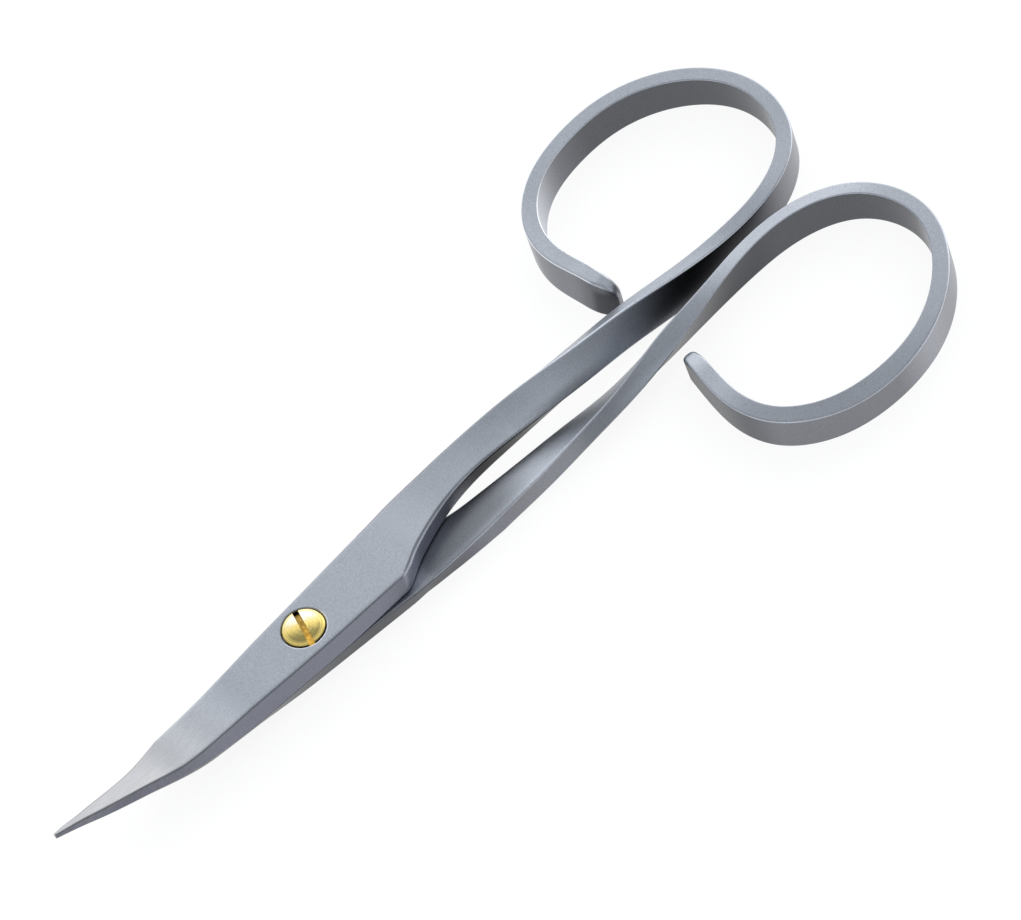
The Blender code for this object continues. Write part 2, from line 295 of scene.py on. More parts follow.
@dataclass(frozen=True)
class Patch:
    """A stretch of the steel that is made lighter or darker, placed to match the photo's tones.

    Each patch paints light or shade into the steel's colour: shade where the halves hide light from each
    other, faces lighter or darker by how light falls on them, and highlights and shade along edges.

    Each limit is a measure, where the patch starts and where it is full. The measures x, y, z and reach
    (from the pivot's axis) are in millimetres. The others are level (how far a face lies flat) and worn.
    """

    gain: float
    limits: tuple[tuple[str, float, float], ...]
    half: Side | None = None


@dataclass(frozen=True)
class SatinSteel:
    """Tumbled steel with brushed blades, with light and shade painted into its colour.

    Side faces are painted darker than flat ones. Edges are lifted brighter, partly by real polish and partly
    as a painted highlight, and patches paint more light and shade.

    The pairs of limits are where an effect starts and where it is full. Along X they are in metres.
    """

    name: str
    colour: Colour = (0.395, 0.42, 0.46)
    tip_colour: Colour = (0.42, 0.425, 0.438)
    tip_limits: Limits = (-6 * MM, -20 * MM)
    # Tints of the side faces, which go with their painted shade: turning bluer from the shanks towards the
    # joint and blades.
    shaded_side_tint: Colour = (0.40, 0.41, 0.452)
    blade_side_tint: Colour = (0.388, 0.40, 0.482)
    blade_side_limits: Limits = (24 * MM, 13 * MM)
    level_limits: Limits = (0.2, 0.62)
    underside_level: float = -0.4
    # Painted shade: side faces keep only this share of the flat faces' tone, painted lighter where they face
    # +X or +Y, as light falls there.
    shaded_side_share: float = 0.31
    end_facing_light_share: float = 0.85
    far_facing_light_share: float = 0.35
    far_facing_light_limits: Limits = (0.1, 0.5)
    # Edges: the lower roughness is real polish; the colour lift is partly polish and partly a painted
    # highlight, faded out on flat faces.
    wear_and_sheen_lift: float = 1.2
    wear_and_sheen_flat_limits: Limits = (0.55, 0.9)
    wear_and_sheen_flat_loss: float = 0.95
    worn_roughness: float = 0.2
    roughness: float = 0.36
    mottle_size: float = 1.1 * MM
    mottle_tone: float = 0.08
    mottle_roughness: float = 0.06
    grain_size: float = 0.1 * MM
    grain_tone: float = 0.85
    grain_roughness: float = 0.10
    grain_depth: float = 0.012 * MM
    bump_strength: float = 0.32
    brushed_limits: Limits = (-8 * MM, -19 * MM)
    brushed_tone_loss: float = 0.4
    brushed_bump_loss: float = 0.6
    line_size: tuple[float, float, float] = (2.4 * MM, 0.11 * MM, 0.8 * MM)
    line_degrees: float = 7.0
    line_tone: float = 0.4
    line_roughness: float = 0.08
    line_bump: float = 0.7
    # Painted light and shade on the side faces, stretch by stretch: darker between and under the parts,
    # lighter where light falls on them.
    side_light_and_shade_patches: tuple[Patch, ...] = (
        Patch(0.78, (("x", 14, 6),), Side.UPPER),
        Patch(-0.18, (("x", -12, -18),)),
        Patch(0.95, (("x", 10, 12), ("x", 20, 16)), Side.UPPER),
        Patch(-0.9, (("x", 19, 23), ("x", 42, 35)), Side.UPPER),
        Patch(-0.6, (("x", 16, 11),), Side.LOWER),
        Patch(1.1, (("x", 14, 20), ("x", 36, 26)), Side.LOWER),
        Patch(-0.5, (("x", 36, 41), ("x", 60, 52), ("y", -9, -6)), Side.LOWER),
        Patch(-0.55, (("x", 47, 53), ("x", 64, 57), ("y", 5, 2.5)), Side.UPPER),
        Patch(0.9, (("y", -15, -19), ("x", 65, 58)), Side.LOWER),
        Patch(-0.42, (("y", -12.5, -9), ("y", -5.5, -6.5), ("x", 50, 46)), Side.LOWER),
        Patch(0.65, (("y", 7, 10), ("x", 52, 47)), Side.UPPER),
    )
    # Painted light and shade on all faces: one half's shade on the other, shaded creases near the joint,
    # lighter bows and blade bend, a painted highlight on the screw seat's rim, and painted shade and highlight
    # along edges.
    face_light_and_shade_patches: tuple[Patch, ...] = (
        Patch(-0.08, (("x", 22, 40),)),
        Patch(-0.3, (("z", 2.8, 2.5), ("level", 0.6, 0.9), ("x", 27, 12))),
        Patch(-0.22, (("level", 0.97, 0.85), ("level", 0.3, 0.5), ("x", 14, 6))),
        Patch(0.4, (("x", -8, -12.5), ("x", -18, -14.5), ("level", 0.6, 0.9))),
        Patch(-0.1, (("x", 14, 19), ("x", 29, 24)), Side.UPPER),
        Patch(0.2, (("x", 28, 34), ("x", 48, 42)), Side.UPPER),
        Patch(0.15, (("x", 24, 28), ("x", 44, 38), ("y", 4, 0)), Side.UPPER),
        Patch(0.2, (("x", 16, 22), ("x", 34, 28), ("y", -2.5, -4.5), ("level", 0.6, 0.9)), Side.LOWER),
        Patch(0.3, (("x", 49, 46), ("y", -3.5, -4.5), ("y", -16, -11), ("level", 0.5, 0.8))),
        Patch(0.24, (("x", 50, 56), ("y", -8, -4), ("level", 0.5, 0.8)), Side.LOWER),
        Patch(-0.5, (("x", 50, 47), ("y", 7.6, 6.6), ("y", 2.5, 4), ("z", 3.5, 2.7)), Side.UPPER),
        Patch(-0.5, (("worn", 0.3, 0.9), ("x", 50, 47), ("y", 7.8, 7), ("y", 2.5, 4)), Side.UPPER),
        Patch(-0.5, (("worn", 0.15, 0.6), ("x", 9, 11), ("x", 24, 17)), Side.UPPER),
        Patch(0.9, (("reach", 2.4, 2.29), ("reach", 2.15, 2.2), ("y", 0.8, -0.8), ("z", 4.5, 4.65))),
        Patch(-0.5, (("x", 20, 24), ("x", 42, 35), ("y", 1.8, 0.9), ("level", 0.97, 0.8)), Side.UPPER),
        Patch(-0.42, (("x", 11, 13), ("x", 27, 21), ("y", -5, -3)), Side.LOWER),
        Patch(0.6, (("worn", 0.3, 0.9), ("x", 26, 32), ("x", 60, 52)), Side.UPPER),
    )

    def material(self) -> bpy.types.Material:
        """Build the material.

        Returns:
            The steel, ready for a piece.
        """
        made, canvas = new_material(self.name)
        place = canvas.node("ShaderNodeTexCoord").outputs
        where = canvas.node("ShaderNodeSeparateXYZ", None, {0: place["Object"]}).outputs
        facing = canvas.node("ShaderNodeSeparateXYZ", None, {0: place["Normal"]}).outputs
        worn, upper = (
            Value(canvas, canvas.node("ShaderNodeAttribute", {"attribute_name": name}).outputs["Fac"])
            for name in (WORN, ON_TOP)
        )
        level = canvas.maths("MAXIMUM", facing["Z"], self.underside_level - Value(canvas, facing["Z"]))
        measures = {name: Value(canvas, where[name.upper()]) / MM for name in "xyz"}
        measures |= {"reach": canvas.axis_distance(where) / MM, "level": level, "worn": worn}
        shares = ((Side.UPPER, upper), (Side.LOWER, 1 - upper))
        halves = {half: canvas.smooth_step(share, 0, 1) for half, share in shares}
        grain = canvas.noise(place["Object"], self.grain_size, 3.0)
        mottle = canvas.noise(place["Object"], self.mottle_size, 4.0)
        brushed = canvas.smooth_step(where["X"], *self.brushed_limits)
        lines = (self._brush_lines(canvas, place["Object"]) - 0.5) * brushed

        # Painted shade on the sides: darker than flat faces, lighter where they face +X or +Y, with the side
        # patches painting more light and shade.
        flat = canvas.smooth_step(level, *self.level_limits)
        side = canvas.maths("MAXIMUM", facing["X"], 0.0) * self.end_facing_light_share + self.shaded_side_share
        side = side + canvas.smooth_step(facing["Y"], *self.far_facing_light_limits) * self.far_facing_light_share
        side = side * self._painted_light_and_shade(canvas, measures, halves, self.side_light_and_shade_patches)
        tone = (grain - 0.5) * (1 - brushed * self.brushed_tone_loss) * self.grain_tone
        tone = (mottle - 0.5) * self.mottle_tone + tone + lines * self.line_tone + 1
        tone = tone * (flat * (1 - side) + side) * self._painted_light_and_shade(canvas, measures, halves, self.face_light_and_shade_patches)
        # Painted highlight along the edges on top of real polish, less on flat faces; negative marks paint
        # shade.
        lit_edge = worn * (1 - canvas.smooth_step(level, *self.wear_and_sheen_flat_limits) * self.wear_and_sheen_flat_loss)
        tone = tone * (lit_edge * self.wear_and_sheen_lift + 1)

        # Sides take the tint of their painted shade; flat faces turn from the steel's colour to the brushed
        # tip's.
        on_blade = canvas.smooth_step(where["X"], *self.blade_side_limits)
        shaded_side_tint = canvas.mix_colour(on_blade, (*self.shaded_side_tint, 1), (*self.blade_side_tint, 1))
        on_tip = canvas.smooth_step(where["X"], *self.tip_limits)
        face_tint = canvas.mix_colour(on_tip, (*self.colour, 1), (*self.tip_colour, 1))
        tint = canvas.mix_colour(flat, shaded_side_tint, face_tint)
        colour = canvas.vectors("SCALE", tint, scale=tone)[0]

        rough = (grain - 0.5) * self.grain_roughness + (mottle - 0.5) * self.mottle_roughness
        rough = rough + lines * self.line_roughness + self.roughness
        rough = rough + worn * (self.worn_roughness - self.roughness)
        height = grain * (1 - brushed * self.brushed_bump_loss) + lines * self.line_bump
        canvas.metal(colour, rough, height, (self.bump_strength, self.grain_depth))
        return made

    @staticmethod
    def _painted_light_and_shade(canvas: Canvas, measures: dict, halves: dict, patches: tuple[Patch, ...]) -> Value:
        """How much lighter or darker all the patches together make the steel, as painted light and shade."""
        total = canvas.maths("ADD", 1.0, 0.0)
        for patch in patches:
            mask = patch.gain if patch.half is None else halves[patch.half] * patch.gain
            for measure, start, full in patch.limits:
                mask = canvas.smooth_step(measures[measure], start, full) * mask
            total = total * (mask + 1)
        return total

    def _brush_lines(self, canvas: Canvas, place: bpy.types.NodeSocket) -> Value:
        """Add fine lines that run along the blade, a few degrees off its length."""
        sockets = {"Vector": place, "Rotation": (0, 0, -math.radians(self.line_degrees))}
        turned = canvas.node("ShaderNodeVectorRotate", {"rotation_type": "EULER_XYZ"}, sockets)
        drawn = canvas.vectors("MULTIPLY", turned.outputs[0], tuple(1 / size for size in self.line_size))[0]
        return canvas.noise(drawn, 1.0, 2.0)


@dataclass(frozen=True)
class TurnedBrass:
    """Brass with fine rings from the lathe, and a darker floor in its slot.

    Light and shade are painted into its colour: a painted highlight towards +Y and painted shade towards -Y on
    the head, and a lit end and a painted shadow at the other end of the slot's floor.

    Shares of the head's radius are written without a unit. The pairs of limits are where an effect starts
    and where it is full.
    """

    name: str
    # Head: pale is a painted highlight towards +Y, the shaded colour after gold is painted shade towards -Y,
    # gold is the brass's own. Slot floor: amber at its lit end, umber as painted shade at the other.
    pale: Colour = (1.0, 0.98, 0.88)
    gold: Colour = (0.95, 0.74, 0.23)
    shaded_olive: Colour = (0.34, 0.28, 0.10)
    amber: Colour = (0.95, 0.56, 0.11)
    umber: Colour = (0.52, 0.33, 0.075)
    head_radius: float = 2.06 * MM
    fan_turn: float = 0.5
    fan_rings: float = 0.6
    fan_patina: float = 0.3
    gold_limits: Limits = (-0.55, 0.15)
    pale_limits: Limits = (0.05, 0.7)
    rim_limits: Limits = (0.72, 0.94)
    rim_share: float = 0.75
    floor_limits: Limits = (0.3 * MM, 0.1 * MM)
    amber_limits: Limits = (0.5, -0.7)
    shade_fan_limits: Limits = (0.5, 0.7)
    shade_reach_limits: Limits = (0.9, 0.97)
    shade: float = 0.9
    ring_pitch: float = 0.13 * MM
    ring_tone: float = 0.3
    wander_size: float = 1.3 * MM
    wander_turns: float = 1.5
    patina_size: float = 0.35 * MM
    patina_tone: float = 0.25
    patina_floor_tone: float = 2.0
    patina_roughness: float = 0.12
    floor_roughness: float = 0.16
    roughness: float = 0.24
    bump: tuple[float, float] = (0.35, 0.004 * MM)

    def material(self, floor_z: float) -> bpy.types.Material:
        """Build the material.

        Args:
            floor_z: The height below which the brass is the slot's darker floor.

        Returns:
            The brass, ready for the screw.
        """
        made, canvas = new_material(self.name)
        place = canvas.node("ShaderNodeTexCoord").outputs["Object"]
        where = canvas.node("ShaderNodeSeparateXYZ", None, {0: place}).outputs
        radius = canvas.axis_distance(where)
        turns = radius / self.ring_pitch + canvas.noise(place, self.wander_size, 2.0) * self.wander_turns
        line = {"noise_dimensions": "1D"}
        rings = Value(canvas, canvas.node("ShaderNodeTexNoise", line, {"W": turns, "Scale": 1.0}).outputs[0])
        patina = canvas.noise(place, self.patina_size, 4.0)
        deep = canvas.smooth_step(where["Z"], *(floor_z + limit for limit in self.floor_limits))
        reach = radius / self.head_radius
        rim = canvas.smooth_step(reach, *self.rim_limits)
        # Painted highlight and shade across the head: the fan runs from painted shade at -Y to a painted
        # highlight at +Y, broken up by the rings and the patina.
        lean = (Value(canvas, where["X"]) * self.fan_turn + where["Y"]) / self.head_radius
        fan = lean + (rings - 0.5) * self.fan_rings + (patina - 0.5) * self.fan_patina

        golden = canvas.smooth_step(fan, *self.gold_limits)
        colour = canvas.mix_colour(golden, (*self.shaded_olive, 1), (*self.gold, 1))
        colour = canvas.mix_colour(canvas.smooth_step(fan, *self.pale_limits), colour, (*self.pale, 1))
        colour = canvas.mix_colour(rim * self.rim_share, colour, (*self.gold, 1))
        # Painted light and shade on the slot's floor: amber towards its lit end at -Y, umber towards +Y, and a
        # painted shadow at the +Y end.
        lit_end = canvas.smooth_step(Value(canvas, where["Y"]) / self.head_radius, *self.amber_limits)
        floor = canvas.mix_colour(lit_end, (*self.umber, 1), (*self.amber, 1))
        colour = canvas.mix_colour(deep, colour, floor)

        shade = deep * canvas.smooth_step(fan, *self.shade_fan_limits)
        shade = shade * canvas.smooth_step(reach, *self.shade_reach_limits)
        patina_tone = deep * self.patina_floor_tone + self.patina_tone
        tone = (rings - 0.5) * self.ring_tone + (patina - 0.5) * patina_tone + 1
        tone = tone * (1 - shade * self.shade)
        toned = canvas.vectors("SCALE", colour, scale=tone)[0]
        rough = (patina - 0.5) * self.patina_roughness + deep * self.floor_roughness + self.roughness
        canvas.metal(toned, rough, rings + patina * deep, self.bump)
        return made


class SmoothCurve:
    """A natural cubic spline through rows of values."""

    def __init__(self, places: np.ndarray, values: np.ndarray) -> None:
        """Solve the curve's bends.

        Args:
            places: Rising places, one for each row.
            values: The rows, one or more columns wide.
        """
        self.places = np.asarray(places, dtype=float)
        values = np.asarray(values, dtype=float)
        self.columns = values.shape[1:]
        self.values = values.reshape(len(self.places), -1)
        self.step = np.diff(self.places)
        slope = np.diff(self.values, axis=0) / self.step[:, None]
        system = np.eye(len(self.places))
        bends = np.zeros_like(self.values)
        for row in range(1, len(self.places) - 1):
            before, after = self.step[row - 1], self.step[row]
            system[row, row - 1:row + 2] = before, 2 * (before + after), after
            bends[row] = 6 * (slope[row] - slope[row - 1])
        self.bends = np.linalg.solve(system, bends)

    def at(self, wanted: np.ndarray) -> np.ndarray:
        """Read the curve.

        Args:
            wanted: Places to read it at.

        Returns:
            One row for each place.
        """
        wanted = np.asarray(wanted, dtype=float)
        span = np.clip(np.searchsorted(self.places, wanted) - 1, 0, len(self.step) - 1)
        width = self.step[span][:, None]
        ahead = (wanted - self.places[span])[:, None]
        left = width - ahead
        bends, values = self.bends, self.values
        out = (bends[span] * left ** 3 + bends[span + 1] * ahead ** 3) / (6 * width)
        out += (values[span] / width - bends[span] * width / 6) * left
        out += (values[span + 1] / width - bends[span + 1] * width / 6) * ahead
        return out.reshape((len(wanted),) + self.columns)


@dataclass(frozen=True)
class Section:
    """A cut across a half: four corners, how far each is rounded, and how worn the edges are there, which also
    sets their painted highlight or shade.
    """

    corners: np.ndarray
    rounding: np.ndarray
    wear: tuple = (1.0, 1.0, 1.0, 1.0)

    ARC_WEAR = (0.0, 0.7, 1.0, 0.7, 0.0)
    FACE_SHARES = (0.05, 0.5, 0.95)
    ROOM_SHARE = 0.45

    def ring(self) -> list[np.ndarray]:
        """Lay points round the section.

        Returns:
            Points of the four rounded corners and of the faces between them.
        """
        starts, ends, points = [], [], []
        for index, corner in enumerate(self.corners):
            before = self.corners[index - 1] - corner
            after = self.corners[(index + 1) % 4] - corner
            room = min(np.linalg.norm(before), np.linalg.norm(after)) * self.ROOM_SHARE
            cut = min(self.rounding[index], room)
            starts.append(corner + before / np.linalg.norm(before) * cut)
            ends.append(corner + after / np.linalg.norm(after) * cut)
        for index, corner in enumerate(self.corners):
            start, end = starts[index], ends[index]
            for t in np.linspace(0, 1, len(self.ARC_WEAR)):
                near, middle, far = (1 - t) ** 2, 2 * t * (1 - t) * math.sqrt(0.5), t ** 2
                points.append((near * start + middle * corner + far * end) / (near + middle + far))
            following = starts[(index + 1) % 4]
            points += [end + (following - end) * share for share in self.FACE_SHARES]
        return points

    def marks(self) -> list[float]:
        """How worn each point of the ring is, which also sets its painted highlight or shade.

        Returns:
            The share for each point of the ring.
        """
        marks = []
        for worn in self.wear:
            marks += [share * worn for share in self.ARC_WEAR] + [0.0] * len(self.FACE_SHARES)
        return marks


@dataclass(frozen=True)
class JointSizes:
    """Sizes that both halves share at the flat joint and the blades."""

    half_thickness: float = 2.38 * MM
    mating_gap: float = 0.05 * MM
    blade_width: float = 6.7 * MM
    blade_reach: float = 30.6 * MM
    tip_rise: float = 4.6 * MM
    bend_start: float = 13.6 * MM
    bend_length: float = 6.2 * MM
    shoulder_x: float = 9.9 * MM
    tip_row_shares: tuple = (1.0, 0.974, 0.915, 0.856, 0.794, 0.736, 0.677, 0.618, 0.56)
    belly_row_shares: tuple = (0.56, 0.495, 0.433, 0.371)
    joint_row_shares: tuple = (0.371, 0.278, 0.139, 0.0)
    shoulder_row_shares: tuple = (0.48, 1.0)
    spine_thickness_shares: tuple = (0.18, 0.205, 0.27, 0.335, 0.395, 0.455, 0.515, 0.575, 0.65,
                                     0.76, 0.865, 0.945, 0.995, 1.0, 1.0, 1.0, 1.0)
    edge_thickness_shares: tuple = (0.12, 0.135, 0.166, 0.198, 0.237, 0.285, 0.356, 0.455, 0.565,
                                    0.7, 0.825, 0.925, 0.99, 1.0, 1.0, 1.0, 1.0)
    tip_gap: float = 0.012 * MM
    gap_closes_from: float = 9.0 * MM
    gap_closes_to: float = 15.0 * MM
    crease_round: float = 0.22 * MM
    cutting_round: float = 0.03 * MM
    shoulder_relief: float = 0.24 * MM

    @property
    def mating_z(self) -> float:
        """Height at which the halves meet."""
        return self.half_thickness

    @property
    def top_z(self) -> float:
        """Height of the upper half's flat top."""
        return 2 * self.half_thickness

    def lift(self, radius: float) -> float:
        """Rise of the mating face.

        Args:
            radius: Distance from the pivot axis.

        Returns:
            How far the blades are bent up there.
        """
        bend_end = self.bend_start + self.bend_length
        slope = self.tip_rise / (self.blade_reach - bend_end + self.bend_length / 2)
        in_bend = min(max(radius - self.bend_start, 0), self.bend_length)
        return slope * (in_bend ** 2 / (2 * self.bend_length) + max(radius - bend_end, 0))

    def half_gap(self, radius: float) -> float:
        """Half the space between the mating faces.

        Args:
            radius: Distance from the pivot axis.

        Returns:
            Half the space, which closes towards the tip.
        """
        share = (radius - self.gap_closes_from) / (self.gap_closes_to - self.gap_closes_from)
        closed = min(max(share, 0), 1)
        eased = closed * closed * (3 - 2 * closed)
        return (self.mating_gap + (self.tip_gap - self.mating_gap) * eased) / 2

    def rows(self) -> tuple[list[float], tuple[int, ...]]:
        """Places of the blade's outline rows.

        Returns:
            The places along X from tip to shoulder, and the numbers of the rows where the outline breaks.
        """
        shares = self.tip_row_shares + self.belly_row_shares[1:] + self.joint_row_shares[1:]
        places = [-self.blade_reach * share for share in shares]
        places += [self.shoulder_x * share for share in self.shoulder_row_shares]
        kink = len(self.tip_row_shares) - 1
        return places, (0, kink, kink + len(self.belly_row_shares) - 1, len(places) - 1)


@dataclass(frozen=True)
class HandleSizes:
    """Sizes that both halves share along the neck, the shank and the bow."""

    reach: float = 69.5 * MM
    shank_spread: float = 2.7 * MM
    strip_height: float = 4.14 * MM
    strip_thickness: float = 1.37 * MM
    bow_radius: float = 12.4 * MM
    bow_gap: float = 1.3 * MM
    end_edge_round: float = 0.32 * MM
    end_softens_over: float = 2.6 * MM
    edge_round: float = 0.17 * MM
    neck_round: float = 0.24 * MM
    neck_crease_round: float = 0.42 * MM
    inner_round: float = 0.12 * MM
    mating_round: float = 0.26 * MM
    neck_place_shares: tuple = (0.033, 0.059, 0.096, 0.124, 0.165)
    neck_offset_shares: tuple = (0.073, 0.132, 0.198, 0.241, 0.292)
    neck_width_shares: tuple = (0.931, 0.853, 0.762, 0.701, 0.628)
    neck_thickness_shares: tuple = (0.97, 0.96, 0.94, 0.925, 0.905)
    shank_place_shares: tuple = (0.235, 0.357, 0.48, 0.602, 0.724)
    shank_width_shares: tuple = (0.915, 0.87, 0.852, 0.83, 0.875)
    shank_root_thickness_shares: tuple = (0.87, 0.8)
    bow_start_width_shares: tuple = (0.965, 1.0)
    twist_degrees: tuple = (0.0, 0.0, 0.5, 1.2, 2.6, 5.0, 14.0, 30.0, 47.0, 61.5)
    level_shares: tuple = (1.0, 0.995, 0.975, 0.96, 0.935, 0.88, 0.7, 0.455, 0.235, 0.075, 0.01, 0.0)
    turn_shares: tuple = (0.0, 0.0, 0.1, 0.2, 0.4, 0.7, 1.0)


@dataclass(frozen=True)
class HalfShares:
    """What differs between the two halves, as shares of the sizes that they share."""

    edge_outer: tuple
    edge_mating: tuple
    spine_outer: tuple
    spine_mating: tuple
    neck_draft: tuple
    neck_flare: tuple
    shank_offset: tuple
    shank_thickness: tuple
    reach_radius: float
    bow_degrees: tuple
    bow_radius: tuple
    bow_thickness: tuple
    bow_twist: tuple
    bow_height: tuple
    end_drop: tuple
    lean_outer: tuple
    lean_inner: tuple
    top_fall: tuple
    end_shape: tuple


UPPER_SHARES = HalfShares(
    edge_outer=(0.022, 0.048, 0.078, 0.115, 0.148, 0.18, 0.226, 0.29, 0.355,
                0.357, 0.341, 0.327, 0.343, 0.396, 0.438, 0.486, 0.54),
    edge_mating=(0.034, 0.062, 0.1, 0.14, 0.174, 0.212, 0.262, 0.335, 0.38,
                 0.387, 0.391, 0.402, 0.433, 0.472, 0.505, 0.55, 0.578),
    spine_outer=(0.019, 0.034, 0.056, 0.097, 0.136, 0.171, 0.206, 0.251, 0.304,
                 0.334, 0.364, 0.394, 0.416, 0.448, 0.472, 0.484, 0.494),
    spine_mating=(0.03, 0.052, 0.087, 0.133, 0.17, 0.198, 0.222, 0.254, 0.297,
                  0.327, 0.365, 0.404, 0.438, 0.467, 0.495, 0.513, 0.525),
    neck_draft=(0.0, 0.012, 0.008, 0.003, 0.0),
    neck_flare=(0.019, 0.026, 0.025, 0.019, 0.012),
    shank_offset=(0.885, 0.98, 0.995, 0.93, 0.825),
    shank_thickness=(1.35, 1.19, 1.04),
    reach_radius=1.046,
    bow_degrees=(-118, -90, -60, -30, -10, 10, 35, 70, 100, 130, 155, 175, 192, 203, 209.8),
    bow_radius=(0.925, 0.82, 0.91, 1.045, 1.065, 1.035, 0.95, 0.86, 0.85, 0.93, 0.99, 0.995, 0.995, 1.025,
                1.02),
    bow_thickness=(1.05, 1.1, 1.12, 1.18, 1.18, 1.12, 1.12, 1.12, 1.12, 1.12, 1.27, 1.41, 1.38, 1.28, 1.2),
    bow_twist=(80, 92, 92, 92),
    bow_height=(0.98, 0.95, 1.0, 0.98),
    end_drop=(0.0, 0.02, 0.2),
    lean_outer=(0.03, 0.26, 0.44, 0.45, 0.42),
    lean_inner=(0.0, 0.07, 0.2, 0.24, 0.22),
    top_fall=(0.0,),
    end_shape=(0.3, 0.27, 0.02, 0.45),
)

LOWER_SHARES = HalfShares(
    edge_outer=(0.012, 0.022, 0.05, 0.087, 0.114, 0.127, 0.132, 0.142, 0.158,
                0.175, 0.18, 0.185, 0.215, 0.303, 0.37, 0.432, 0.494),
    edge_mating=(0.026, 0.045, 0.076, 0.12, 0.158, 0.188, 0.214, 0.244, 0.285,
                 0.327, 0.362, 0.402, 0.437, 0.466, 0.494, 0.532, 0.612),
    spine_outer=(0.017, 0.02, 0.034, 0.073, 0.112, 0.147, 0.182, 0.227, 0.28,
                 0.309, 0.341, 0.376, 0.404, 0.443, 0.47, 0.484, 0.494),
    spine_mating=(0.028, 0.036, 0.065, 0.112, 0.154, 0.188, 0.217, 0.252, 0.297,
                  0.327, 0.365, 0.404, 0.438, 0.467, 0.495, 0.513, 0.525),
    neck_draft=(0.131, 0.11, 0.091, 0.067, 0.045),
    neck_flare=(0.09, 0.072, 0.059, 0.047, 0.037, 0.02),
    shank_offset=(0.825, 0.96, 1.03, 1.08, 0.91),
    shank_thickness=(1.25, 1.31, 1.5),
    reach_radius=1.055,
    bow_degrees=(-118, -90, -60, -30, 0, 35, 70, 100, 130, 155, 172, 188, 200, 208.2),
    bow_radius=(0.9, 0.83, 0.9, 1.04, 1.065, 0.95, 0.875, 0.885, 0.98, 1.045, 1.03, 1.005, 1.02, 1.06),
    bow_thickness=(1.15, 1.09, 1.04, 1.04, 1.12, 1.21, 1.26, 1.38, 1.31, 1.23, 1.21, 1.21, 1.15, 1.03),
    bow_twist=(79, 90, 91, 91, 92, 91, 92, 94, 92),
    bow_height=(0.99, 0.95, 1.02, 1.01, 1.0, 1.0, 0.99, 0.99, 1.02, 1.03, 1.02),
    end_drop=(0.0, 0.04, 0.2),
    lean_outer=(0.0,),
    lean_inner=(0.0,),
    top_fall=(0.1, 0.13, 0.1, 0.04, 0.0, 0.02, 0.08, 0.14, 0.15, 0.12),
    end_shape=(0.19, 0.07, 0.03, 0.5),
)


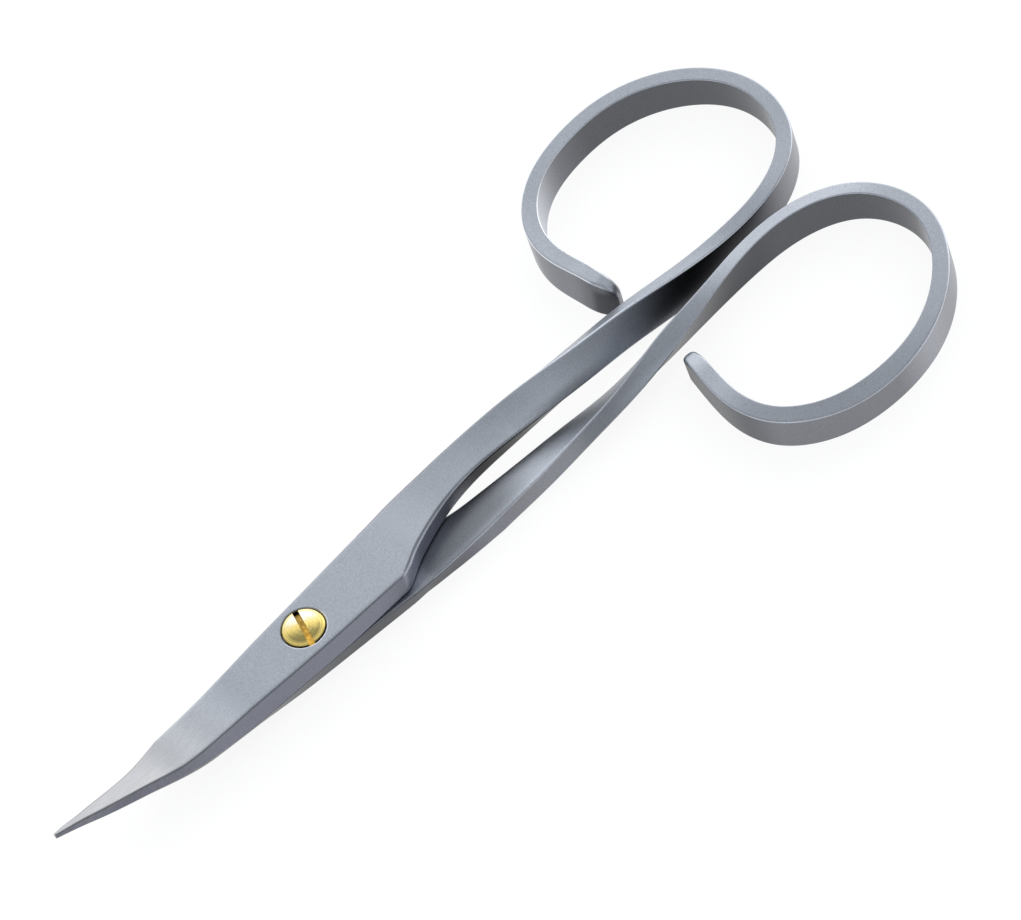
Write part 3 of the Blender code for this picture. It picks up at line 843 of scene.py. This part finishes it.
@dataclass
class ScissorHalf:
    """One forged half: blade, flat joint, neck, twisted shank and finger bow in one skin."""

    name: str
    side: Side
    shares: HalfShares
    body: str
    joint: JointSizes = field(default_factory=JointSizes)
    handle: HandleSizes = field(default_factory=HandleSizes)
    sections_per_row: int = 12
    shoulder_sections: int = 8
    handle_sections: int = 430
    end_sections: int = 13
    shoulder_window: float = 2.4 * MM
    shoulder_step: float = 0.06 * MM
    shoulder_softness: tuple = (0.3 * MM, 0.1 * MM, 0.34 * MM, 0.34 * MM)
    # Edge marks on the blade, corner by corner: below zero on the spine's top crease paints shade along it and
    # roughens it; the small marks on the mating edges add polish and a painted highlight.
    blade_wear_and_shading: tuple = (0.0, -0.28, 0.1, 0.1)
    wear_changes_over: float = 0.2 * MM
    crease_degrees: float = 32.0

    def build(self) -> bpy.types.Object:
        """Skin the sections from the tip to the bow's free end.

        Returns:
            The half as an object without a material.
        """
        sections = self.sections()
        skin = bmesh.new()
        worn, on_top = (skin.verts.layers.float.new(name) for name in (WORN, ON_TOP))
        rings = []
        for section in sections:
            ring = [skin.verts.new(point) for point in section.ring()]
            for vertex, mark in zip(ring, section.marks()):
                vertex[worn] = mark
                vertex[on_top] = 1.0 if self.side is Side.UPPER else 0.0
            rings.append(ring)
        for near, far in zip(rings, rings[1:]):
            for index in range(len(near)):
                after = (index + 1) % len(near)
                skin.faces.new((near[index], near[after], far[after], far[index]))
        skin.faces.new(rings[0])
        skin.faces.new(reversed(rings[-1]))
        bmesh.ops.recalc_face_normals(skin, faces=skin.faces)
        return add_object(self.name, skin)

    def sections(self) -> list[Section]:
        """Sections from the tip to the bow's free end, with the shoulder's corners softened.

        Returns:
            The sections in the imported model's frame.
        """
        blade, handle = self._blade_sections(), self._handle_sections()
        rough = blade + self._between(blade[-1], handle[0]) + handle
        sections = self._soften_shoulder(rough, len(blade) - 1)
        for section in sections:
            section.corners[:, 1] *= self.side.value
        return sections

    def _soften_shoulder(self, rough: list[Section], corner_at: int) -> list[Section]:
        """Round the shoulder's corners in plan: the crease a little, the mating edge more."""
        corners = np.array([section.corners for section in rough])
        rounding = np.array([section.rounding for section in rough])
        middles = corners.mean(axis=1)
        steps = np.linalg.norm(np.diff(middles, axis=0), axis=1)
        run = np.concatenate([[0], np.cumsum(steps)])
        run -= run[corner_at]
        window = (run > -self.shoulder_window) & (run < self.shoulder_window)
        first, last = np.flatnonzero(window)[[0, -1]]
        dense = np.arange(run[first], run[last], self.shoulder_step)
        reach = np.arange(-3, 3.01, 0.25)
        weights = np.exp(-reach ** 2 / 2)
        weights /= weights.sum()
        softened = []
        for place in dense:
            moved = np.zeros((4, 3))
            for index, spread in enumerate(self.shoulder_softness):
                samples = place + reach * spread * (1 - (place / self.shoulder_window) ** 2)
                for axis in range(3):
                    moved[index, axis] = weights @ np.interp(samples, run, corners[:, index, axis])
            widths = [np.interp(place, run, rounding[:, index]) for index in range(4)]
            change = (-self.wear_changes_over, self.wear_changes_over)
            worn = [float(np.interp(place, change, (on_blade, 1.0))) for on_blade in self.blade_wear_and_shading]
            softened.append(Section(moved, np.array(widths), tuple(worn)))
        return rough[:first] + softened + rough[last:]

    def finish(self, made: bpy.types.Object, steel: bpy.types.Material) -> None:
        """Smooth the half and dress it.

        Args:
            made: The half's object.
            steel: Its material.
        """
        coat(made, steel, self.crease_degrees)
        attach(made, self.body)
        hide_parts(self.name.replace("forged_", ""))
        log.info("%s: %d faces", made.name, len(made.data.polygons))

    def _blade_sections(self) -> list[Section]:
        """Sections from the tip to the shoulder, in the half's own frame, where its bow is at +Y."""
        sizes = self.joint
        rows, breaks = sizes.rows()
        full = sizes.half_thickness - sizes.mating_gap / 2
        outline = np.column_stack([
            sizes.blade_width * np.array(self.shares.edge_outer),
            -sizes.blade_width * np.array(self.shares.spine_outer),
            -sizes.blade_width * np.array(self.shares.spine_mating),
            sizes.blade_width * np.array(self.shares.edge_mating),
            full * np.array(sizes.edge_thickness_shares),
            full * np.array(sizes.spine_thickness_shares),
        ])
        sections: list[Section] = []
        for first, last in zip(breaks, breaks[1:]):
            places = np.linspace(rows[first], rows[last], self.sections_per_row * (last - first) + 1)
            group = SmoothCurve(rows[first:last + 1], outline[first:last + 1]).at(places)
            if first > 0:
                group[:, 4:] = SmoothCurve(rows[breaks[1]:], outline[breaks[1]:, 4:]).at(places)
            group[:, 4:] = np.minimum(group[:, 4:], full)
            start = 1 if sections else 0
            sections += [self._blade_section(x, row) for x, row in zip(places[start:], group[start:])]
        return sections

    def _blade_section(self, x: float, row: np.ndarray) -> Section:
        """One blade section, raised by the bend of the tip."""
        outward = (row[4], row[5], 0, 0)
        half_gap = self.joint.mating_gap / 2
        corners = []
        for index, (y, thick) in enumerate(zip(row[:4], outward)):
            radius = math.hypot(x, y)
            gap = half_gap if index < 2 else self.joint.half_gap(radius)
            z = self.joint.mating_z + self.joint.lift(radius) + self.side.value * (gap + thick)
            corners.append((x, y, z))
        crease, cutting = self.joint.crease_round, self.joint.cutting_round
        relief = cutting + (self.joint.shoulder_relief - cutting) * max(x / self.joint.shoulder_x, 0) ** 1.5
        return Section(np.array(corners), np.array((crease, crease, relief, relief)), self.blade_wear_and_shading)

    def _between(self, near: Section, far: Section) -> list[Section]:
        """Straight steps from the shoulder's last blade section to the first one of the neck."""
        steps = []
        for share in np.linspace(0, 1, self.shoulder_sections + 2)[1:-1]:
            corners = near.corners + (far.corners - near.corners) * share
            steps.append(Section(corners, near.rounding + (far.rounding - near.rounding) * share))
        return steps

    def _path(self) -> tuple[np.ndarray, np.ndarray]:
        """Knots of the handle's middle line in plan, and the length along it at each knot."""
        sizes, shares = self.handle, self.shares
        centre_x = sizes.reach - sizes.strip_thickness / 2 - sizes.bow_radius * shares.reach_radius
        centre_y = sizes.bow_radius * shares.bow_radius[1] + sizes.strip_thickness / 2 + sizes.bow_gap / 2
        start = self.joint.shoulder_x
        run = centre_x - start
        knots = []
        for place, offset in zip(sizes.neck_place_shares, sizes.neck_offset_shares):
            knots.append((start + run * place, self.joint.blade_width * offset))
        for place, offset in zip(sizes.shank_place_shares, shares.shank_offset):
            knots.append((start + run * place, sizes.shank_spread * offset))
        for degrees, share in zip(shares.bow_degrees, shares.bow_radius):
            angle, radius = math.radians(degrees), sizes.bow_radius * share
            knots.append((centre_x + radius * math.cos(angle), centre_y + radius * math.sin(angle)))
        line = np.array(knots)
        steps = np.linalg.norm(np.diff(line, axis=0), axis=1)
        return line, np.concatenate([[0], np.cumsum(steps)])

    def _knot_values(self, count: int) -> np.ndarray:
        """What shapes the section at each of count knots, in the order that _handle_sections reads."""
        sizes, shares, joint = self.handle, self.shares, self.joint
        before_bow = [0] * (count - len(shares.bow_degrees))
        widths = [joint.blade_width * share for share in sizes.neck_width_shares]
        widths += [sizes.strip_height * share for share in sizes.shank_width_shares]
        widths += [sizes.strip_height * share for share in sizes.bow_start_width_shares]
        thicks = [joint.half_thickness * share for share in sizes.neck_thickness_shares]
        thicks += [joint.half_thickness * share for share in sizes.shank_root_thickness_shares]
        thicks += [sizes.strip_thickness * share for share in shares.shank_thickness + shares.bow_thickness]
        twists = [math.radians(angle) for angle in sizes.twist_degrees + shares.bow_twist]
        taller = before_bow + [sizes.strip_height * (share - 1) for share in shares.bow_height]
        drafts = [joint.blade_width * share for share in shares.neck_draft]
        flares = [joint.blade_width * share for share in shares.neck_flare]
        leans = []
        for lean in (shares.lean_outer, shares.lean_inner):
            leans.append([0] * (count - len(lean)) + [sizes.strip_thickness * share for share in lean])
        drops = [0] * (count - len(shares.end_drop))
        drops += [sizes.strip_height * share for share in shares.end_drop]
        columns = [
            self._padded(widths, count, sizes.strip_height),
            self._padded(taller, count, 0),
            thicks,
            self._padded(twists, count, math.pi / 2),
            self._padded(sizes.level_shares, count, 0),
            drops,
            *leans,
            self._padded(flares, count, 0),
            self._padded(before_bow + list(shares.top_fall), count, shares.top_fall[-1]),
            self._padded(drafts, count, 0),
            self._padded(sizes.turn_shares, count, 1),
        ]
        return np.column_stack(columns)

    @staticmethod
    def _padded(start: list | tuple, count: int, rest: float) -> list[float]:
        """Lengthen a list to count with one value."""
        return list(start) + [rest] * (count - len(start))

    def _handle_sections(self) -> list[Section]:
        """Sections from the neck to the bow's free end, in the half's own frame."""
        sizes = self.handle
        knots, lengths = self._path()
        values = self._knot_values(len(knots))
        round_share, top_loss, bottom_loss, thick_loss = self.shares.end_shape
        end_round = sizes.strip_height * round_share
        near_end = lengths[-1] - end_round
        past = end_round * np.sin(np.linspace(0, math.pi / 2, self.end_sections))[1:]
        places = np.concatenate([np.linspace(0, near_end, self.handle_sections), near_end + past])
        middle = SmoothCurve(lengths, knots).at(places)
        ahead = np.gradient(middle, places, axis=0)
        smooth = SmoothCurve(lengths, values[:, :10]).at(places)
        linear = np.column_stack([np.interp(places, lengths, values[:, column]) for column in (10, 11)])
        flat_z = self.joint.mating_z
        flat_z += self.side.value * (self.joint.half_thickness + self.joint.mating_gap / 2) / 2
        rest_z = sizes.strip_height / 2
        sections = []
        for place, (x, y), (dx, dy), curved, (draft, turn) in zip(places, middle, ahead, smooth, linear):
            width, taller, thick, twist, level, drop, lean_outer, lean_inner, flare, fall = curved
            width += taller
            centre = np.array((x, y, rest_z + taller / 2 + level * (flat_z - rest_z)))
            yaw = math.atan2(dy, dx) * turn
            rounded = self._end_curve((place - near_end) / end_round)
            thick *= 1 - thick_loss * rounded
            corners = self._strip(centre, yaw, twist, (width, thick))
            inward = np.array((-math.sin(yaw), math.cos(yaw), 0))
            upward = np.array((0, 0, math.sin(twist)))
            leans = (lean_outer, lean_inner) if self.side is Side.UPPER else (lean_inner, lean_outer)
            corners[0] += inward * (max(leans[0], 0) * math.sin(twist) - draft + flare)
            corners[3] += inward * (max(leans[1], 0) * math.sin(twist) + flare)
            corners[[0, 3]] -= upward * (max(drop, 0) + sizes.strip_height * top_loss * rounded)
            corners[[1, 2]] += upward * sizes.strip_height * bottom_loss * rounded
            corners[0 if self.side is Side.UPPER else 3] -= upward * thick * fall
            corners[:, 2] = np.maximum(corners[:, 2], 0)
            sections.append(Section(corners, self._handle_rounding(place, lengths, near_end)))
        return sections

    def _handle_rounding(self, place: float, lengths: np.ndarray, near_end: float) -> np.ndarray:
        """How far the four corners are rounded at a place along the handle."""
        sizes = self.handle
        neck = np.array((sizes.neck_round, sizes.neck_crease_round, sizes.mating_round, sizes.mating_round))
        top, inner = sizes.edge_round, sizes.inner_round
        bow = np.array((top, top, top, inner) if self.side is Side.UPPER else (inner, top, top, top))
        along = min(place / lengths[7], 1)
        rounding = neck + (bow - neck) * along
        soft = min(max((place - near_end) / sizes.end_softens_over + 1, 0), 1)
        return rounding + (sizes.end_edge_round - rounding) * soft * soft

    @staticmethod
    def _end_curve(share: float) -> float:
        """How far the strip has come in at a share of its rounded last stretch."""
        inset = min(max(share, 0), 1)
        return 1 - math.sqrt(1 - inset ** 2)

    def _strip(self, centre: np.ndarray, yaw: float, twist: float, size: tuple[float, float]) -> np.ndarray:
        """Corners of the strip's section, whose bow side the twist turns up."""
        width, thick = size
        left = np.array((-math.sin(yaw), math.cos(yaw), 0))
        up = np.array((0, 0, 1))
        broad = left * math.cos(twist) + up * math.sin(twist)
        outer = (up * math.cos(twist) - left * math.sin(twist)) * self.side.value
        return np.array([
            centre + broad * width / 2 + outer * thick / 2,
            centre - broad * width / 2 + outer * thick / 2,
            centre - broad * width / 2 - outer * thick / 2,
            centre + broad * width / 2 - outer * thick / 2,
        ])


@dataclass
class PivotScrew:
    """The slotted brass screw, its seat in the upper half and its hole in the lower one."""

    joint: JointSizes = field(default_factory=JointSizes)
    radius: float = 1.25 * MM
    head_radius: float = 2.06 * MM
    head_height: float = 0.95 * MM
    head_rise: float = 0.1 * MM
    head_dome: float = 0.1 * MM
    head_chamfer: float = 0.09 * MM
    slot_width: float = 0.58 * MM
    slot_depth: float = 0.48 * MM
    slot_degrees: float = 71.5
    seat_clearance: float = 0.12 * MM
    seat_chamfer: float = 0.09 * MM
    seat_depth_clearance: float = 0.04 * MM
    turning_clearance: float = 0.05 * MM
    thread_clearance: float = 0.03 * MM
    end_chamfer: float = 0.06 * MM
    overrun: float = 1.0 * MM
    segments: int = 128
    dome_rings: int = 15
    crease_degrees: float = 28.0

    @property
    def floor_z(self) -> float:
        """Height of the slot's floor."""
        return self.joint.top_z - self.slot_depth

    def build(self, brass: bpy.types.Material) -> bpy.types.Object:
        """Turn the screw and cut its slot.

        Args:
            brass: Its material.

        Returns:
            The screw.
        """
        top = self.joint.top_z
        rim = top + self.head_rise
        dome = []
        for share in np.linspace(0, 1, self.dome_rings):
            reach = (self.head_radius - self.head_chamfer) * share
            dome.append((reach, rim + self.head_dome * (1 - share ** 2)))
        under = top - self.head_height
        profile = dome + [
            (self.head_radius, rim - self.head_chamfer),
            (self.head_radius, under),
            (self.radius, under),
            (self.radius, self.end_chamfer),
            (self.radius - self.end_chamfer, 0),
            (0, 0),
        ]
        made = self._turned("pivot_screw_turned", profile)
        self._cut(made, self._slot_bar())
        coat(made, brass, self.crease_degrees)
        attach(made, "lower")
        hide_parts("pivot_screw")
        log.info("%s: %d faces", made.name, len(made.data.polygons))
        return made

    def cut_seat(self, half: bpy.types.Object) -> None:
        """Cut the counterbore and the pivot hole into the upper half.

        Args:
            half: The upper half.
        """
        top = self.joint.top_z
        bore = self.head_radius + self.seat_clearance
        hole = self.radius + self.turning_clearance
        floor = top - self.head_height - self.seat_depth_clearance
        profile = [
            (0, top + self.overrun),
            (bore + self.seat_chamfer + self.overrun, top + self.overrun),
            (bore, top - self.seat_chamfer),
            (bore, floor),
            (hole, floor),
            (hole, -self.overrun),
            (0, -self.overrun),
        ]
        self._cut(half, self._turned("seat_cutter", profile))

    def cut_thread_hole(self, half: bpy.types.Object) -> None:
        """Cut the hole for the screw's end into the lower half.

        Args:
            half: The lower half.
        """
        hole = self.radius + self.thread_clearance
        top, bottom = self.joint.top_z, -self.overrun
        profile = [(0, top), (hole, top), (hole, bottom), (0, bottom)]
        self._cut(half, self._turned("thread_cutter", profile))

    def _turned(self, name: str, profile: list[tuple[float, float]]) -> bpy.types.Object:
        """Spin a profile of radius and height about the pivot axis."""
        body = bmesh.new()
        points = [body.verts.new((radius, 0, height)) for radius, height in profile]
        edges = [body.edges.new(pair) for pair in zip(points, points[1:])]
        bmesh.ops.spin(body, geom=points + edges, cent=(0, 0, 0), axis=(0, 0, 1), angle=math.tau,
                       steps=self.segments, use_merge=True)
        bmesh.ops.remove_doubles(body, verts=body.verts, dist=0.001 * MM)
        bmesh.ops.recalc_face_normals(body, faces=body.faces)
        return add_object(name, body)

    def _slot_bar(self) -> bpy.types.Object:
        """The bar that cuts the driver slot."""
        body = bmesh.new()
        bmesh.ops.create_cube(body, size=1)
        length = 2 * (self.head_radius + self.overrun)
        height = self.slot_depth + self.overrun
        size = Matrix.Diagonal((length, self.slot_width, height, 1))
        turn = Matrix.Rotation(math.radians(self.slot_degrees), 4, "Z")
        place = Matrix.Translation((0, 0, self.floor_z + height / 2))
        bmesh.ops.transform(body, matrix=place @ turn @ size, verts=body.verts)
        return add_object("slot_cutter", body)

    @staticmethod
    def _cut(target: bpy.types.Object, tool: bpy.types.Object) -> None:
        """Cut one object out of another for good, and remove the cutter."""
        step = target.modifiers.new("cut", "BOOLEAN")
        step.operation, step.solver, step.object = "DIFFERENCE", "EXACT", tool
        graph = bpy.context.evaluated_depsgraph_get()
        mesh = bpy.data.meshes.new_from_object(target.evaluated_get(graph))
        target.modifiers.clear()
        target.data = mesh
        bpy.data.objects.remove(tool, do_unlink=True)


@dataclass(frozen=True)
class PhotoCamera:
    """The camera that took the photo, as solved from the scissors' own outlines."""

    azimuth: float = -24.005
    elevation: float = 52.949
    roll: float = -23.033
    place: tuple[float, float, float] = (-186.37 * MM, -476.46 * MM, 692.89 * MM)
    focal_pixels: float = 9311.0

    def build(self) -> bpy.types.Object:
        """Set the camera up and make it the scene's own.

        Returns:
            The camera.
        """
        lens = bpy.data.cameras.new("photo_camera")
        lens.sensor_width = SENSOR_WIDTH
        lens.lens = self.focal_pixels * SENSOR_WIDTH / PHOTO_WIDTH
        lens.clip_start = 10 * MM
        made = bpy.data.objects.new("photo_camera", lens)
        azimuth, elevation = math.radians(self.azimuth), math.radians(self.elevation)
        back = Vector((
            math.sin(azimuth) * math.cos(elevation),
            -math.cos(azimuth) * math.cos(elevation),
            math.sin(elevation),
        ))
        right = Vector((0, 0, 1)).cross(back).normalized()
        up = back.cross(right)
        turn = math.radians(self.roll)
        across = right * math.cos(turn) + up * math.sin(turn)
        above = up * math.cos(turn) - right * math.sin(turn)
        pose = Matrix((across, above, back)).transposed().to_4x4()
        made.matrix_world = Matrix.Translation(self.place) @ pose
        bpy.context.scene.collection.objects.link(made)
        bpy.context.scene.camera = made
        return made


@dataclass(frozen=True)
class Glow:
    """A soft patch of the sky: where its middle is, how wide and how strong it is, and its tint."""

    towards: tuple[float, float, float]
    starts_at: float
    full_at: float
    strength: float
    tint: Colour


@dataclass(frozen=True)
class Studio:
    """A white table in a pale tent: bright low beyond the bows, dim behind the camera."""

    floor_size: float = 3.0
    floor_drop: float = 0.02 * MM
    floor_colour: float = 0.18
    floor_glow: float = 0.885
    tent_colour: Colour = (0.60, 0.62, 0.65)
    window: Glow = Glow((0.7, 0.7, 0.15), 0.42, 0.95, 0.95, (1.0, 1.0, 1.0))
    side_window: Glow = Glow((0.95, 0.25, 0.2), 0.7, 1.0, 0.7, (1.03, 1.0, 0.94))
    dark_end: Glow = Glow((0.0, -1.0, 0.02), 0.5, 0.97, -0.42, (1.0, 1.0, 1.0))

    def build(self) -> None:
        """Lay the floor and light the set."""
        self._sky()
        self._floor()
        bpy.context.scene.view_settings.view_transform = "Standard"

    def _sky(self) -> None:
        """Light the set from a sky whose brightness depends on the direction alone."""
        world = bpy.data.worlds.new("studio_tent")
        bpy.context.scene.world = world
        world.use_nodes = True
        canvas = Canvas(world.node_tree)
        place = canvas.node("ShaderNodeTexCoord").outputs["Generated"]
        tone = self._patch(canvas, place, self.dark_end)
        summed = canvas.vectors("SCALE", self.tent_colour, scale=tone + 1)[0]
        for glow in (self.window, self.side_window):
            lit = canvas.vectors("SCALE", glow.tint, scale=self._patch(canvas, place, glow))[0]
            summed = canvas.vectors("ADD", summed, lit)[0]
        light = canvas.node("ShaderNodeBackground", None, {"Color": summed, "Strength": 1.0})
        canvas.node("ShaderNodeOutputWorld", None, {"Surface": light.outputs[0]})

    @staticmethod
    def _patch(canvas: Canvas, place: bpy.types.NodeSocket, glow: Glow) -> Value:
        """How strong a patch of the sky is in each direction."""
        towards = Vector(glow.towards).normalized()
        near = canvas.vectors("DOT_PRODUCT", place, towards)["Value"]
        return canvas.smooth_step(near, glow.starts_at, glow.full_at) * glow.strength

    def _floor(self) -> None:
        """Lay a wide white table, whose top is a hair below z = 0."""
        mesh = bpy.data.meshes.new("table")
        half = self.floor_size / 2
        corners = [(-half, -half, 0), (half, -half, 0), (half, half, 0), (-half, half, 0)]
        mesh.from_pydata(corners, [], [(0, 1, 2, 3)])
        made = bpy.data.objects.new("table", mesh)
        made.location = (0, 0, -self.floor_drop)
        bpy.context.scene.collection.objects.link(made)
        surface, canvas = new_material("white_table")
        rays = canvas.node("ShaderNodeLightPath").outputs
        seen = canvas.maths("MAXIMUM", rays["Is Camera Ray"], rays["Is Glossy Ray"])
        seen = canvas.maths("MAXIMUM", seen, rays["Is Transmission Ray"])
        matt = canvas.node("ShaderNodeBsdfDiffuse", None, {"Color": (*[self.floor_colour] * 3, 1)})
        glow = canvas.node("ShaderNodeEmission", None, {"Strength": seen * self.floor_glow})
        both = canvas.node("ShaderNodeAddShader", None, {0: matt.outputs[0], 1: glow.outputs[0]})
        canvas.node("ShaderNodeOutputMaterial", None, {"Surface": both.outputs[0]})
        mesh.materials.append(surface)


def main() -> None:
    """Build the scissors, the camera and the studio."""
    logging.basicConfig(level=logging.INFO, format="%(name)s %(message)s")
    steel = SatinSteel("tumbled_steel").material()
    upper = ScissorHalf("forged_upper_half", Side.UPPER, UPPER_SHARES, "upper")
    lower = ScissorHalf("forged_lower_half", Side.LOWER, LOWER_SHARES, "lower")
    screw = PivotScrew()
    upper_piece, lower_piece = upper.build(), lower.build()
    screw.cut_seat(upper_piece)
    screw.cut_thread_hole(lower_piece)
    upper.finish(upper_piece, steel)
    lower.finish(lower_piece, steel)
    screw.build(TurnedBrass("turned_brass").material(screw.floor_z))
    PhotoCamera().build()
    Studio().build()


if __name__ == "__main__":
    main()
